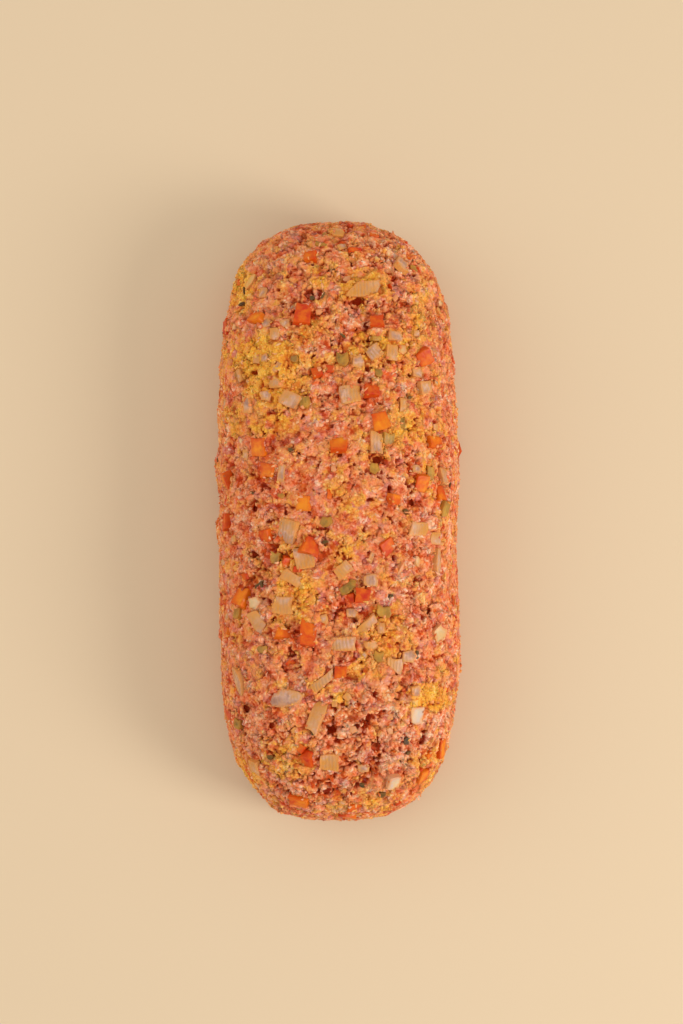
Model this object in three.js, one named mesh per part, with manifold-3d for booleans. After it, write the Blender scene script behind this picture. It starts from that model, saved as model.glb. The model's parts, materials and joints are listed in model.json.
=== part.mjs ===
// An uncooked meatloaf, pressed into shape by hand and studded with diced vegetables.
// Millimetres, +Z up, +Y along the loaf, the base on Z = 0.

import * as THREE from 'three';
import { ImprovedNoise } from 'three/addons/math/ImprovedNoise.js';
import { mergeVertices } from 'three/addons/utils/BufferGeometryUtils.js';
import Module from 'manifold-3d';

const wasm = await Module();
wasm.setup();

// The plain form, which lumps and dice stand a little proud of.
const length = 250;
const width = 99.5;
const height = 61;

// It is a rounded block: |x/a|^p + |y/b|^q + |z/c|^r = 1 about the centre of its belt.
const form = {
  belt: 17, // height of the widest line
  tuck: 42, // depth below the belt at which the sides would close, were there no base
  sidePower: 2.5,
  endPower: 5.2,
  crownPower: 2.2,
  lean: 0.009, // sideways drift for each millimetre along the loaf
};

const grid = { across: 22, along: 56, up: 11 }; // cells of the block that becomes the skin
const swell = { span: 46, rise: 1.4 }; // the low waves that hands leave
const clump = { span: 13, rise: 2 }; // the lumps of the mince

// Pieces on the crown are placed by eye from above: each lies where the line from the eye
// through its place on the datum plane meets the loaf.
const eye = new THREE.Vector3(0, -37, 775);
const datum = 25;
const ahead = -1; // where the rows' zero lies along the loaf

// Each row: x, y, size across, size along, turn in degrees.
const dice = {
  onion: {
    proud: 0.8,
    depth: 3.2,
    rows: [
      [0, 122, 5, 5, 0], [27, 108.5, 6, 7, -20], [12, 98, 16, 8, 4], [24.5, 78, 6.5, 4, 0],
      [15, 71.2, 7, 6.5, 38], [22.5, 71, 5, 6.5, 0], [8.5, 67, 5, 5.5, 0], [-27, 58, 6, 4, 0],
      [-30.5, 53, 5, 4.5, 0], [-20.5, 51, 9, 6, -20], [-38.5, 48.5, 4, 6, 0], [5, 53.5, 9, 7, 8],
      [37, 56.5, 7, 5.5, 15], [16, 33, 5, 8.5, 0], [44.5, 19, 4.5, 8, 0], [-22, -4, 8, 10, -15],
      [34, -3, 9, 5.5, 0], [-14.5, -15, 8, 9, 10], [-19.5, -23.5, 9, 5, -30], [42, -16.5, 4.5, 12, 0],
      [2, -20, 8, 5, 40], [14, -24.5, 6, 5, 0], [11.5, -44.5, 11, 9, 20], [14, -51.5, 6, 3.5, 0],
      [-34.5, -41.5, 10, 9, -35], [-23, -35, 8, 7, 0], [2, -51, 11, 6, 5], [24, -60.5, 7, 7, 0],
      [29.5, -56, 5, 5, 0], [-42, -66.5, 5, 13, 17], [-8, -67, 12, 9, 15], [-23.5, -73.5, 19, 7.5, 12],
      [-9.5, -81, 6, 14, -15], [-4, -100, 8, 7, 0], [-35.5, -102, 6, 6, 0], [-27, 79, 4, 5, 0],
      [-24, 20, 3.5, 7, 0], [32.5, -70.5, 4, 4.5, 0],
    ],
  },
  carrot: {
    proud: 1.1,
    depth: 4,
    rows: [
      [-12, 112, 5, 4, 0], [-35.5, 86.5, 7, 4.5, 0], [-15, 87.5, 7, 9, 0], [16, 84.5, 5.5, 4.5, 0],
      [36.5, 68.5, 7, 7, 40], [14, 56, 7, 5.5, 10], [-34, 31.5, 6, 8, 10], [-30, 21.5, 6, 6, 0],
      [-47.5, 17, 5, 7, 0], [-47.5, 0, 4.5, 7, 0], [-15, 8, 5.5, 7, 0], [0, 32.5, 7, 6, 0],
      [17.8, 42, 7, 7, 20], [40.5, 33.5, 6.5, 5, 0], [35, 15, 6, 8, 0], [24, 9, 4.5, 4.5, 0],
      [-31, -6, 5, 5, 0], [-11, -10.5, 7, 6.5, -25], [21, -11, 7, 6.5, 38], [-41, -31, 7, 8.5, 0],
      [10, -31, 6, 6, 0], [-22, -46, 8, 4, 0], [-12.5, -46, 7, 11, 0], [1, -62.5, 5, 5, 0],
      [-13.5, -99.5, 5, 6, 0], [43, -94, 4, 8, 0], [35.5, -105.5, 6, 6, 0], [-17.5, -116.5, 8, 5.5, 0],
    ],
  },
  celery: {
    proud: 0.8,
    depth: 3.2,
    rows: [
      [1.5, 68.5, 5, 6, 0], [-14, 50.5, 4.5, 5, 0], [21.5, 34.5, 5, 5, 0], [38.5, 20.5, 3.5, 6, 0],
      [45, 5, 5, 8, 0], [-26.5, -15, 4.5, 5, 0], [4, -27, 8, 4, 45], [-42.5, -38, 4.5, 4.5, 0],
      [19, -37.5, 6, 5, 0], [17, -56, 4.5, 4.5, 0], [-42, -84, 4, 4.5, 0],
    ],
  },
  garlic: {
    proud: 0.9,
    depth: 3,
    rows: [
      [-37, 101, 8, 3.5, 50], [-35, -34, 6.5, 5, 20], [42.5, -46.5, 8, 7, 40], [32.5, -80.5, 6, 7, 0],
      [23, -108.5, 5.5, 5.5, 0],
    ],
  },
};

// What shows at the flanks and ends, dealt out in this order at about these sizes.
const flank = {
  deal: ['onion', 'carrot', 'onion', 'celery', 'onion', 'carrot'],
  count: 15,
  reach: 104,
  endCount: 5,
  endReach: 30,
  low: 9,
  high: 36,
  smallest: 4.8,
  spread: 3.2,
};

// Open cracks in the crown: x, y, size across, size along, turn.
const pits = {
  depth: 3,
  rows: [
    [16, 25.8, 4.5, 3, 0], [-35, 5, 4, 3, 20], [30, 8, 5, 3, 10], [-21, -43.5, 4, 3, 0],
    [-38.5, -78, 4, 3, 0], [-2.5, -86, 3, 6, 0], [15.5, -94, 5, 3, 15], [35, -91.7, 5, 2.6, 0],
    [-5, -112, 4, 5, 0], [7, 92, 6, 3, 0], [-28, -84.5, 4, 3, 30], [37.5, -36.5, 3, 4, 0],
  ],
};

const noise = new ImprovedNoise();
const up = new THREE.Vector3(0, 0, 1);

// A repeatable draw between 0 and 1.
let seed = 4711;
function draw() {
  seed = (seed * 16807) % 2147483647;
  return seed / 2147483647;
}

// 1 on the plain form's skin and less inside it.
function fullness(x, y, z) {
  const reach = z > 0 ? height - form.belt : form.tuck;
  return (
    Math.abs((2 * x) / width) ** form.sidePower +
    Math.abs((2 * y) / length) ** form.endPower +
    Math.abs(z / reach) ** form.crownPower
  );
}

// Moves a point out or in from the belt's centre to the plain form's skin.
function toSkin(point) {
  let inner = 0;
  let outer = 2;
  for (let step = 0; step < 40; step++) {
    const middle = (inner + outer) / 2;
    if (fullness(point.x * middle, point.y * middle, point.z * middle) < 1) inner = middle;
    else outer = middle;
  }
  return point.multiplyScalar(inner);
}

// Shifts the block's grid so that its cells come out alike round the cross-section.
function evenly(point) {
  const spread = (share) => Math.tan((share * Math.PI) / 4);
  point.x = (width / 2) * spread((2 * point.x) / width);
  point.z = (height / 2) * spread((2 * point.z) / height);
  return point;
}

function outward(point) {
  const step = 0.01;
  const here = fullness(point.x, point.y, point.z);
  return new THREE.Vector3(
    fullness(point.x + step, point.y, point.z) - here,
    fullness(point.x, point.y + step, point.z) - here,
    fullness(point.x, point.y, point.z + step) - here,
  ).normalize();
}

// Rounded lumps with creases between them.
function lumps(point) {
  const wave = noise.noise(point.x / clump.span, point.y / clump.span, point.z / clump.span);
  return 0.5 - Math.abs(wave) * 2;
}

function swells(point) {
  return noise.noise(point.x / swell.span + 7, point.y / swell.span, point.z / swell.span);
}

function solidOf(geometry) {
  geometry.deleteAttribute('normal');
  geometry.deleteAttribute('uv');
  const merged = mergeVertices(geometry);
  return new wasm.Manifold(
    new wasm.Mesh({
      numProp: 3,
      vertProperties: merged.attributes.position.array,
      triVerts: new Uint32Array(merged.index.array),
    }),
  );
}

function geometryOf(solid) {
  const { vertProperties, triVerts } = solid.getMesh();
  const geometry = new THREE.BufferGeometry();
  geometry.setAttribute('position', new THREE.BufferAttribute(vertProperties, 3));
  geometry.setIndex(new THREE.BufferAttribute(triVerts, 1));
  return geometry;
}

// The mince by itself: a gridded block drawn in to the plain form, then swollen and lumped.
function minceBody() {
  const block = new THREE.BoxGeometry(width, length, height, grid.across, grid.along, grid.up);
  const position = block.attributes.position;
  const point = new THREE.Vector3();
  for (let i = 0; i < position.count; i++) {
    toSkin(evenly(point.fromBufferAttribute(position, i)));
    const rise = swell.rise * swells(point) + clump.rise * lumps(point);
    point.addScaledVector(outward(point), rise);
    point.x -= form.lean * point.y;
    position.setXYZ(i, point.x, point.y, point.z + form.belt);
  }
  const under = new THREE.BoxGeometry(2 * width, 2 * length, height).translate(0, 0, -height / 2);
  return solidOf(block).subtract(solidOf(under));
}

const body = minceBody();
const skin = new THREE.Mesh(geometryOf(body));
const ray = new THREE.Raycaster();

// Where a line first meets the mince, and the way out of it there.
function meet(from, direction) {
  ray.set(from, direction.normalize());
  const hit = ray.intersectObject(skin)[0];
  const place = new THREE.Vector3(hit.point.x, hit.point.y, hit.point.z - form.belt);
  return { point: hit.point, normal: outward(place) };
}

function meetFromAbove(x, y) {
  return meet(eye, new THREE.Vector3(x, y + ahead, datum).sub(eye));
}

// Sets a shape on the skin: its own +Z along the way out, turned about it and tipped a little.
function setOn({ point, normal }, geometry, turn, tip) {
  const stand = new THREE.Quaternion().setFromUnitVectors(up, normal);
  const spin = new THREE.Quaternion().setFromAxisAngle(up, THREE.MathUtils.degToRad(turn));
  const lie = new THREE.Quaternion().setFromEuler(new THREE.Euler(tip * (draw() - 0.5), tip * (draw() - 0.5), 0));
  const one = new THREE.Vector3(1, 1, 1);
  return geometry.applyMatrix4(new THREE.Matrix4().compose(point, stand.multiply(spin).multiply(lie), one));
}

// A cut piece of vegetable, standing a little proud of the mince.
function die(kind, place, across, along, turn) {
  const { proud, depth } = dice[kind];
  const box = new THREE.BoxGeometry(across, along, proud + depth).translate(0, 0, (proud - depth) / 2);
  return solidOf(setOn(place, box, turn, 0.24));
}

function crownDice() {
  const made = [];
  for (const [kind, { rows }] of Object.entries(dice)) {
    for (const [x, y, across, along, turn] of rows) {
      made.push(die(kind, meetFromAbove(x, y), across, along, turn));
    }
  }
  return made;
}

function flankDice() {
  const made = [];
  const add = (from, direction) => {
    const kind = flank.deal[made.length % flank.deal.length];
    const across = flank.smallest + flank.spread * draw();
    const along = flank.smallest + flank.spread * draw();
    made.push(die(kind, meet(from, direction), across, along, 90 * draw()));
  };
  const lift = () => flank.low + (flank.high - flank.low) * draw();
  for (const side of [-1, 1]) {
    for (let k = 0; k < flank.count; k++) {
      const y = flank.reach * ((2 * (k + draw())) / flank.count - 1);
      add(new THREE.Vector3(side * width, y, lift()), new THREE.Vector3(-side, 0, 0));
    }
    for (let k = 0; k < flank.endCount; k++) {
      const x = flank.endReach * ((2 * (k + draw())) / flank.endCount - 1);
      add(new THREE.Vector3(x, side * length, lift()), new THREE.Vector3(0, -side, 0));
    }
  }
  return made;
}

function crackTools() {
  return pits.rows.map(([x, y, across, along, turn]) => {
    const tool = new THREE.OctahedronGeometry(1).scale(across / 2, along / 2, pits.depth);
    return solidOf(setOn(meetFromAbove(x, y), tool, turn, 0.3));
  });
}

function loafSolid() {
  let solid = body;
  for (const tool of crackTools()) solid = solid.subtract(tool);
  for (const piece of [...crownDice(), ...flankDice()]) solid = solid.add(piece);
  return solid;
}

const geometry = geometryOf(loafSolid());
geometry.computeBoundingBox();
const { min, max } = geometry.boundingBox;
geometry.translate(-(min.x + max.x) / 2, -(min.y + max.y) / 2, -min.z);
geometry.computeVertexNormals();

const mince = new THREE.MeshStandardMaterial({ color: 0xcb7a45, roughness: 0.5, metalness: 0, flatShading: true });
const loaf = new THREE.Mesh(geometry, mince);
loaf.name = 'loaf';

const meatloaf = new THREE.Group();
meatloaf.add(loaf);

export default meatloaf;
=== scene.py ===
import itertools
import json
import math
import random

import bpy
import numpy as np
from mathutils import Euler, Matrix, Quaternion, Vector, noise
from mathutils.bvhtree import BVHTree
from mathutils.kdtree import KDTree

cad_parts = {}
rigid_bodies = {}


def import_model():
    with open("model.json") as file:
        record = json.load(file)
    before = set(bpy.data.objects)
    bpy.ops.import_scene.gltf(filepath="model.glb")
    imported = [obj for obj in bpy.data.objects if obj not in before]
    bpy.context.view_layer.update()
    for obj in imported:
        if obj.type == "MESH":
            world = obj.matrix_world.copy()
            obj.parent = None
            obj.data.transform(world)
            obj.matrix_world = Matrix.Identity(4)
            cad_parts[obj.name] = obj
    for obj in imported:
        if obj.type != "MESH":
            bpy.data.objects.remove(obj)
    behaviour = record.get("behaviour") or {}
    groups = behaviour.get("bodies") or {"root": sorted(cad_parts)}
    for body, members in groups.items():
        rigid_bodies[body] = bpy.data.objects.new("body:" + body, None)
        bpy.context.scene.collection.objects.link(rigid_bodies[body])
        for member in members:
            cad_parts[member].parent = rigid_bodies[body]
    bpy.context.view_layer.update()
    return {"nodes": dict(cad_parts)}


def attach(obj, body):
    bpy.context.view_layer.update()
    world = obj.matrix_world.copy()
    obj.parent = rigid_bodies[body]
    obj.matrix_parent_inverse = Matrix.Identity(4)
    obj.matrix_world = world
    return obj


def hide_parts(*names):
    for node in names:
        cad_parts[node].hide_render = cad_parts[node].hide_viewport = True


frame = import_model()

mm = 0.001
noise.seed_set(7)  # noise vectors would otherwise differ from run to run
print("frame loaded")


# small tools

def deselectAll():
    if bpy.context.object and bpy.context.object.mode != "OBJECT":
        bpy.ops.object.mode_set(mode="OBJECT")
    bpy.ops.object.select_all(action="DESELECT")


def pick(obj):
    deselectAll()
    obj.select_set(True)
    bpy.context.view_layer.objects.active = obj


def applyAll(obj):
    pick(obj)
    for modifier in list(obj.modifiers):
        bpy.ops.object.modifier_apply(modifier=modifier.name)


def addModifier(obj, kind, **settings):
    modifier = obj.modifiers.new(kind.lower(), kind)
    for name, value in settings.items():
        setattr(modifier, name, value)
    return modifier


def addNode(tree, kind, inputs=None, **settings):
    node = tree.nodes.new(kind)
    for name, value in settings.items():
        setattr(node, name, value)
    for socket, value in (inputs or {}).items():
        if isinstance(value, bpy.types.NodeSocket):
            tree.links.new(value, node.inputs[socket])
        else:
            node.inputs[socket].default_value = value
    return node


def calc(tree, operation, *values, clamp=False):
    node = addNode(tree, "ShaderNodeMath", dict(enumerate(values)), operation=operation, use_clamp=clamp)
    return node.outputs[0]


def ease(tree, value, low, high, start=0.0, end=1.0):  # smooth step from low to high
    node = addNode(tree, "ShaderNodeMapRange", {
        "Value": value, "From Min": low, "From Max": high, "To Min": start, "To Max": end,
    }, interpolation_type="SMOOTHSTEP")
    return node.outputs["Result"]


def noiseAt(tree, vector, size, detail=2.0, roughness=0.5, output=0):  # size in millimetres
    node = addNode(tree, "ShaderNodeTexNoise", {
        "Vector": vector, "Scale": 1 / (size * mm), "Detail": detail, "Roughness": roughness,
    })
    return node.outputs[output]


def cellsAt(tree, vector, size, feature, smoothness=0.4):
    inputs = {"Vector": vector, "Scale": 1 / (size * mm)}
    node = addNode(tree, "ShaderNodeTexVoronoi", inputs, feature=feature)
    if feature == "SMOOTH_F1":
        node.inputs["Smoothness"].default_value = smoothness
    return node


def vectorCalc(tree, operation, *values, **more):
    inputs = {**dict(enumerate(values)), **more}
    return addNode(tree, "ShaderNodeVectorMath", inputs, operation=operation).outputs[0]


def warped(tree, vector, size, amount):  # pushes the pattern about so that cells lose their even look
    push = noiseAt(tree, vector, size, 1.0, output="Color")
    push = vectorCalc(tree, "SUBTRACT", push, (0.5, 0.5, 0.5))
    push = vectorCalc(tree, "SCALE", push, Scale=amount * 2 * mm)
    return vectorCalc(tree, "ADD", vector, push)


# camera, light and floor

viewing = {
    "eye": (0.0, -37.0, 775.0),
    "target": (1.25, 2.96, 25.0),
    "viewLength": 427.0,      # what the long side of the view spans at the target
    "sensor": 36.0,
}


def makeCamera():
    eye, target = Vector(viewing["eye"]) * mm, Vector(viewing["target"]) * mm
    away = target - eye
    bpy.ops.object.camera_add(location=eye)
    camera = bpy.context.object
    camera.name = "camera"
    right = away.cross(Vector((0, 1, 0))).normalized()
    up = right.cross(away).normalized()
    camera.rotation_euler = Matrix((right, up, -away.normalized())).transposed().to_euler()
    camera.data.sensor_width = viewing["sensor"]
    camera.data.lens = viewing["sensor"] * away.length / (viewing["viewLength"] * mm)
    camera.data.clip_start = 0.01
    bpy.context.scene.camera = camera


lighting = {
    "worldColor": (1.0, 0.985, 0.96),
    "worldStrength": 0.762,
    "keyPlace": (1.1, -0.4, 0.78),
    "keySize": 0.5,
    "keyPower": 10.0,
    "fillPlace": (-1.1, 0.15, 0.8),
    "fillSize": 1.2,
    "fillPower": 4.6,
    "floorSize": 12.0,
    "floorDrop": 0.1,         # millimetres below the base
    "floorColor": (0.70, 0.53, 0.34),
    "floorRoughness": 0.8,
}


def makeLight(name, place, size, power):
    bpy.ops.object.light_add(type="AREA", location=place)
    light = bpy.context.object
    light.name = name
    light.rotation_euler = (-Vector(place)).to_track_quat("-Z", "Y").to_euler()
    light.data.shape = "SQUARE"
    light.data.size = size
    light.data.energy = power


def makeRoom():
    world = bpy.data.worlds.new("studio")
    bpy.context.scene.world = world
    world.use_nodes = True
    background = world.node_tree.nodes["Background"]
    background.inputs["Color"].default_value = (*lighting["worldColor"], 1)
    background.inputs["Strength"].default_value = lighting["worldStrength"]
    makeLight("keyLight", lighting["keyPlace"], lighting["keySize"], lighting["keyPower"])
    makeLight("fillLight", lighting["fillPlace"], lighting["fillSize"], lighting["fillPower"])
    drop = lighting["floorDrop"] * mm
    bpy.ops.mesh.primitive_plane_add(size=lighting["floorSize"], location=(0, 0, -drop))
    floor = bpy.context.object
    floor.name = "floor"
    material = bpy.data.materials.new("floor")
    material.use_nodes = True
    shader = material.node_tree.nodes["Principled BSDF"]
    shader.inputs["Base Color"].default_value = (*lighting["floorColor"], 1)
    shader.inputs["Roughness"].default_value = lighting["floorRoughness"]
    floor.data.materials.append(material)
    bpy.context.scene.view_settings.view_transform = "Standard"


makeCamera()
makeRoom()
print("camera, light and floor")


# the loaf's plain form, as in the frame

form = {
    "length": 250.0, "width": 99.5, "height": 61.0,
    "belt": 17.0, "tuck": 42.0,
    "sidePower": 2.5, "endPower": 5.2, "crownPower": 2.2,
    "datum": 25.0,            # the plane that places on the crown are given on
    "ahead": -1.0,            # where their zero lies along the loaf
}


def fullness(x, y, z):
    reach = form["height"] - form["belt"] if z > 0 else form["tuck"]
    return (abs(2 * x / form["width"]) ** form["sidePower"]
            + abs(2 * y / form["length"]) ** form["endPower"]
            + abs(z / reach) ** form["crownPower"])


def outward(point):  # in millimetres
    x, y, z = point.x, point.y, point.z - form["belt"]
    step = 0.01
    here = fullness(x, y, z)
    return Vector((fullness(x + step, y, z) - here, fullness(x, y + step, z) - here,
                   fullness(x, y, z + step) - here)).normalized()


class Draws:  # the same repeatable draws as the solid's
    def __init__(self, seed):
        self.seed = seed

    def next(self):
        self.seed = self.seed * 16807 % 2147483647
        return self.seed / 2147483647


# where the cuts lie: x, y, size across, size along, turn, tint, shape

placed = {
    "onion": [
        (0, 122, 5, 5, 0, 0.2, "chip"), (27, 108.5, 6, 7, -20, 0.9, "plate"),
        (12, 98, 16, 8, 4, 0.12, "flag"), (24.5, 78, 6.5, 4, 0, 0.85, "chip"),
        (15, 71.2, 7, 6.5, 38, 0.75, "plate"), (22.5, 71, 5, 6.5, 0, 0.25, "plate"),
        (8.5, 67, 5, 5.5, 0, 0.8, "chip"), (-27, 58, 6, 4, 0, 0.3, "chip"),
        (-30.5, 53, 5, 4.5, 0, 0.7, "chip"), (-20.5, 51, 9, 6, -20, 0.6, "plate"),
        (-38.5, 48.5, 4, 6, 0, 0.95, "chip"), (5, 53.5, 9, 7, 8, 0.45, "plate"),
        (37, 56.5, 7, 5.5, 15, 0.65, "plate"), (16, 33, 5, 8.5, 0, 0.65, "plate"),
        (44.5, 19, 4.5, 8, 0, 0.7, "plate"), (-22, -4, 8, 10, -15, 0.65, "plate"),
        (34, -3, 9, 5.5, 0, 0.25, "plate"), (-14.5, -15, 8, 9, 10, 0.4, "layers"),
        (-19.5, -23.5, 9, 5, -30, 0.3, "plate"), (42, -16.5, 4.5, 12, 0, 0.7, "spindle"),
        (2, -20, 8, 5, 40, 0.3, "plate"), (14, -24.5, 6, 5, 0, 1.0, "chip"),
        (11.5, -44.5, 11, 9, 20, 0.35, "strip"), (14, -51.5, 6, 3.5, 0, 0.3, "chip"),
        (-34.5, -41.5, 10, 9, -35, 0.3, "slab"), (-23, -35, 8, 7, 0, 0.25, "layers"),
        (2, -51, 11, 6, 5, 0.65, "plate"), (24, -60.5, 7, 7, 0, 0.55, "fan"),
        (29.5, -56, 5, 5, 0, 0.95, "chip"), (-42, -66.5, 5, 13, 17, 0.7, "spindle"),
        (-8, -67, 12, 9, 15, 0.3, "kite"), (-23.5, -73.5, 19, 7.5, 12, 0.85, "spindle"),
        (-9.5, -81, 6, 14, -15, 0.3, "plate"), (-4, -100, 8, 7, 0, 0.2, "layers"),
        (-35.5, -102, 6, 6, 0, 0.25, "plate"), (-27, 79, 4, 5, 0, 0.3, "chip"),
        (-24, 20, 3.5, 7, 0, 0.95, "plate"), (32.5, -70.5, 4, 4.5, 0, 0.9, "chip"),
    ],
    "carrot": [
        (-12, 112, 5, 4, 0, 0.4, "cube"), (-35.5, 86.5, 7, 4.5, 0, 0.2, "wedge"),
        (-15, 87.5, 7, 9, 0, 0.95, "cube"), (16, 84.5, 5.5, 4.5, 0, 0.6, "cube"),
        (36.5, 68.5, 7, 7, 40, 0.6, "cube"), (14, 56, 7, 5.5, 10, 1.0, "wedge"),
        (-34, 31.5, 6, 8, 10, 0.15, "wedge"), (-30, 21.5, 6, 6, 0, 0.3, "cube"),
        (-47.5, 17, 5, 7, 0, 0.35, "cube"), (-47.5, 0, 4.5, 7, 0, 0.9, "cube"),
        (-15, 8, 5.5, 7, 0, 0.0, "wedge"), (0, 32.5, 7, 6, 0, 0.3, "cube"),
        (17.8, 42, 7, 7, 20, 0.2, "cube"), (40.5, 33.5, 6.5, 5, 0, 0.3, "cube"),
        (35, 15, 6, 8, 0, 0.3, "wedge"), (24, 9, 4.5, 4.5, 0, 0.3, "cube"),
        (-31, -6, 5, 5, 0, 0.75, "cube"), (-11, -10.5, 7, 6.5, -25, 0.7, "cube"),
        (21, -11, 7, 6.5, 38, 0.6, "wedge"), (-41, -31, 7, 8.5, 0, 0.2, "cube"),
        (10, -31, 6, 6, 0, 0.9, "wedge"), (-22, -46, 8, 4, 0, 0.4, "wedge"),
        (-12.5, -46, 7, 11, 0, 0.6, "wedge"), (1, -62.5, 5, 5, 0, 0.5, "cube"),
        (-13.5, -99.5, 5, 6, 0, 0.9, "cube"), (43, -94, 4, 8, 0, 0.2, "cube"),
        (35.5, -105.5, 6, 6, 0, 0.25, "cube"), (-17.5, -116.5, 8, 5.5, 0, 0.3, "wedge"),
    ],
    "celery": [
        (1.5, 68.5, 5, 6, 0, 0.6, "rib"), (-14, 50.5, 4.5, 5, 0, 0.5, "rib"),
        (21.5, 34.5, 5, 5, 0, 0.4, "rib"), (38.5, 20.5, 3.5, 6, 0, 0.2, "rib"),
        (45, 5, 5, 8, 0, 0.4, "rib"), (-26.5, -15, 4.5, 5, 0, 0.5, "rib"), (4, -27, 8, 4, 45, 0.8, "rib"),
        (-42.5, -38, 4.5, 4.5, 0, 0.5, "rib"), (19, -37.5, 6, 5, 0, 0.4, "rib"),
        (17, -56, 4.5, 4.5, 0, 0.3, "rib"), (-42, -84, 4, 4.5, 0, 0.9, "rib"),
    ],
    "garlic": [
        (-37, 101, 8, 3.5, 50, 0.1, "nub"), (-35, -34, 6.5, 5, 20, 0.75, "nub"),
        (42.5, -46.5, 8, 7, 40, 0.5, "nub"), (32.5, -80.5, 6, 7, 0, 1.0, "plate"),
        (23, -108.5, 5.5, 5.5, 0, 0.9, "plate"),
    ],
}

# dice round the flanks and the ends
flank = {
    "deal": ("onion", "carrot", "onion", "celery", "onion", "carrot"),
    "count": 15, "reach": 104.0, "endCount": 5, "endReach": 30.0,
    "low": 9.0, "high": 36.0, "smallest": 4.8, "spread": 3.2, "sunk": 1.1, "seed": 5,
}

# torn pits: x, y, size across, size along, turn
pits = {
    "depth": 1.9, "tip": 0.3,
    "rows": [
        (16, 25.8, 4.5, 3, 0), (-35, 5, 4, 3, 20), (30, 8, 5, 3, 10), (-21, -43.5, 4, 3, 0),
        (-38.5, -78, 4, 3, 0), (-2.5, -86, 3, 6, 0), (15.5, -94, 5, 3, 15), (35, -91.7, 5, 2.6, 0),
        (-5, -112, 4, 5, 0), (7, 92, 6, 3, 0), (-28, -84.5, 4, 3, 30), (37.5, -36.5, 3, 4, 0),
    ],
}

# smaller cuts between them
bits = {
    "onion": [
        (-32, 96.5, 3.5, 5, 0, 0.9, "plate"), (-31, 83.5, 5, 4, 0, 0.85, "chip"),
        (-23, 83.3, 5, 3.5, 0, 0.8, "plate"), (-31, 68.5, 3.5, 4, 0, 0.95, "chip"),
        (-34.5, 68, 3.5, 3.5, 0, 0.2, "chip"), (-26, 65, 2, 5, -30, 0.85, "plate"),
        (-42, 61, 3, 5, 10, 0.7, "plate"), (33, 79, 4, 3, 0, 0.6, "chip"),
        (33.5, 62.5, 5, 4.5, 0, 0.75, "chip"), (-48, 49, 3, 5, 0, 0.7, "plate"),
        (27, 49, 3, 6, 0, 0.5, "plate"), (-39, 28, 3, 5, 0, 0.5, "chip"), (33, 22, 4, 3.5, 0, 1.0, "chip"),
        (41, 39.5, 3.5, 3.5, 0, 0.3, "chip"), (41, -7, 6, 5, 0, 0.4, "plate"),
        (14, -14, 1.8, 6, -20, 0.75, "plate"), (5.5, -38, 4.5, 4, 0, 0.95, "chip"),
        (18, -44, 3.5, 4.5, 0, 0.75, "plate"), (-6, -40.5, 3, 4, 0, 0.6, "chip"),
        (10.5, -55.5, 3, 3, 0, 0.75, "nub"), (10.5, -102.5, 5, 3.5, 0, 1.0, "chip"),
        (3, -120, 5, 3, 0, 0.5, "chip"),
    ],
    "carrot": [
        (15, 120.5, 4, 2, 0, 0.3, "cube"), (7, 114.3, 6, 2, 10, 0.9, "cube"),
        (-9, 63, 4, 4, 20, 0.8, "cube"), (-3.5, 64, 3, 3, 0, 0.8, "cube"),
        (-3.5, 11.5, 3, 4, 0, 0.4, "wedge"), (43, 12, 4.5, 6, 0, 0.4, "cube"),
        (-21, -17, 4.5, 4, 0, 0.4, "wedge"), (-17, -20, 3.5, 2.4, 0, 0.9, "cube"),
        (-39, -23, 3.5, 2.5, 0, 0.5, "cube"), (5, -32, 3, 4, 0, 0.9, "cube"),
        (7.5, -118.5, 8, 3, 0, 0.4, "wedge"), (-37, -105, 3, 7, 20, 0.5, "wedge"),
    ],
    "celery": [
        (-7, 117, 6, 3, 0, 0.5, "rib"), (-18.5, 68.3, 3.5, 3, 0, 0.9, "rib"),
        (17.5, 77, 7, 2.4, 15, 0.3, "rib"), (17, 62.5, 3, 4, 0, 0.75, "rib"),
        (15.3, 22, 4.5, 4.5, 0, 0.1, "nub"), (27, 41.5, 2.5, 5, 0, 0.7, "rib"),
        (-24, 11, 3, 2.5, 0, 0.6, "rib"), (-5, 0, 5, 4, 0, 0.4, "rib"), (-32, -53, 4.5, 3.5, 0, 0.5, "rib"),
    ],
    "garlic": [(27, 72, 4.5, 4, 0, 0.4, "nub"), (33, -16.5, 2.5, 4, 0, 0.6, "nub")],
    "fat": [
        (6, -86.5, 3, 3, 0, 0.8, "nub"), (21.5, -86.8, 2.5, 3, 40, 0.9, "nub"),
        (21.5, -81, 2.5, 2.5, 0, 0.7, "nub"), (26, -20, 1.6, 6, -25, 0.7, "nub"),
        (-8, 88, 3, 2.4, 20, 0.6, "nub"), (24, 94, 3, 2.2, 60, 0.5, "nub"), (-2, 22, 2.4, 3, 0, 0.8, "nub"),
        (35, -26, 3, 2, 30, 0.7, "nub"), (-37, -92, 3, 2.2, 0, 0.7, "nub"),
    ],
    "herb": [
        (-40.5, 91.5, 4, 1.8, 10, 0.9, "nub"), (-39.7, 97, 1, 3.5, 0, 0.4, "nub"),
        (-6.5, 95, 1, 3, -30, 0.3, "nub"), (-11, 94, 2.2, 1.8, 0, 0.6, "nub"),
        (-20, 30, 2.2, 1.5, 0, 0.4, "nub"), (-33, -26, 6, 1.1, 30, 0.5, "nub"),
        (-32, -27, 1, 4, 10, 0.5, "nub"), (-5.5, -8.5, 2.5, 1.4, 30, 0.4, "nub"),
        (32.8, -55.5, 1.5, 3.5, 0, 0.8, "nub"), (29, -96, 2.5, 1.5, 0, 0.5, "nub"),
        (-10.5, -88, 1.8, 1.8, 0, 0.5, "nub"), (2, 78, 1.2, 2.6, 50, 0.4, "nub"),
        (30, 52, 2.2, 1.1, 20, 0.3, "nub"), (-36, 12, 1.1, 2.4, 70, 0.4, "nub"),
        (22, -31, 2, 1.2, 0, 0.5, "nub"),
    ],
}

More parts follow.
